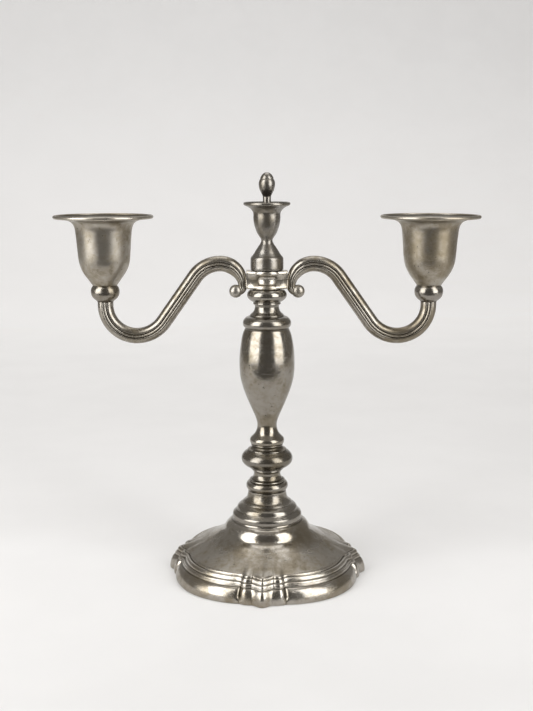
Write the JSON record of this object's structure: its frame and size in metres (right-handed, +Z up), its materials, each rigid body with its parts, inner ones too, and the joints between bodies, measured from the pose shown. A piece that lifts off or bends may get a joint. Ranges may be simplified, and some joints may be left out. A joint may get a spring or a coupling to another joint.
{
  "type": "table candelabra",
  "caption": "Two-light table candelabra: weighted lobed foot, turned baluster stem and a lift-off swivelling branch with S-curved reeded arms, bell cups and an acorn finial.",
  "frame": {"origin": "centre of the foot's underside, where the felt rests on the table", "axes": "+X along the two arms to the right-hand candle, +Y to the back, +Z up the column's axis"},
  "size_m": [0.23, 0.111, 0.2232],
  "materials": {
    "tarnished_silver": "satin, tarnished silver plate",
    "bright_silver": "polished silver plate",
    "nozzle_silver": "satin silver plate",
    "brass": "turned brass, dull",
    "steel": "bright zinc-plated steel",
    "filler": "cast plaster filler, matt",
    "felt": "dark green felt"
  },
  "bodies": {
    "stand": {"base_shell": "tarnished_silver", "base_weight": "filler", "base_felt": "felt", "foot_collar": "tarnished_silver", "stem_spool": "tarnished_silver", "lower_ring": "tarnished_silver", "knop": "tarnished_silver", "step_ring": "tarnished_silver", "baluster": "tarnished_silver", "shoulder_collar": "tarnished_silver", "socket_cap": "tarnished_silver", "socket_tube": "brass", "tie_rod": "steel", "tie_rod_washer": "steel", "tie_rod_nut": "steel"},
    "sleeve": {"spigot_sleeve": "brass"},
    "branch": {"branch_spigot": "brass", "branch_stud": "steel", "hub_collar": "bright_silver", "centre_urn": "tarnished_silver", "left_arm": "tarnished_silver", "right_arm": "tarnished_silver", "left_ball_knop": "tarnished_silver", "right_ball_knop": "tarnished_silver", "left_cup": "tarnished_silver", "right_cup": "tarnished_silver", "left_cup_screw": "steel", "right_cup_screw": "steel"},
    "finial": {"acorn_finial": "tarnished_silver"},
    "nozzle_l": {"left_nozzle": "nozzle_silver"},
    "nozzle_r": {"right_nozzle": "nozzle_silver"}
  },
  "joints": [
    {"name": "branch_swivel", "type": "hinge", "parent": "stand", "child": "sleeve", "pos_m": [0, 0, 0.14], "axis": [0, 0, 1], "continuous": true},
    {"name": "branch_lift", "type": "slide", "parent": "sleeve", "child": "branch", "axis": [0, 0, 1], "range_m": [0, 0.04]},
    {"name": "finial_lift", "type": "slide", "parent": "branch", "child": "finial", "axis": [0, 0, 1], "range_m": [0, 0.014]},
    {"name": "left_nozzle_lift", "type": "slide", "parent": "branch", "child": "nozzle_l", "axis": [0, 0, 1], "range_m": [0, 0.03]},
    {"name": "right_nozzle_lift", "type": "slide", "parent": "branch", "child": "nozzle_r", "axis": [0, 0, 1], "range_m": [0, 0.03]}
  ]
}
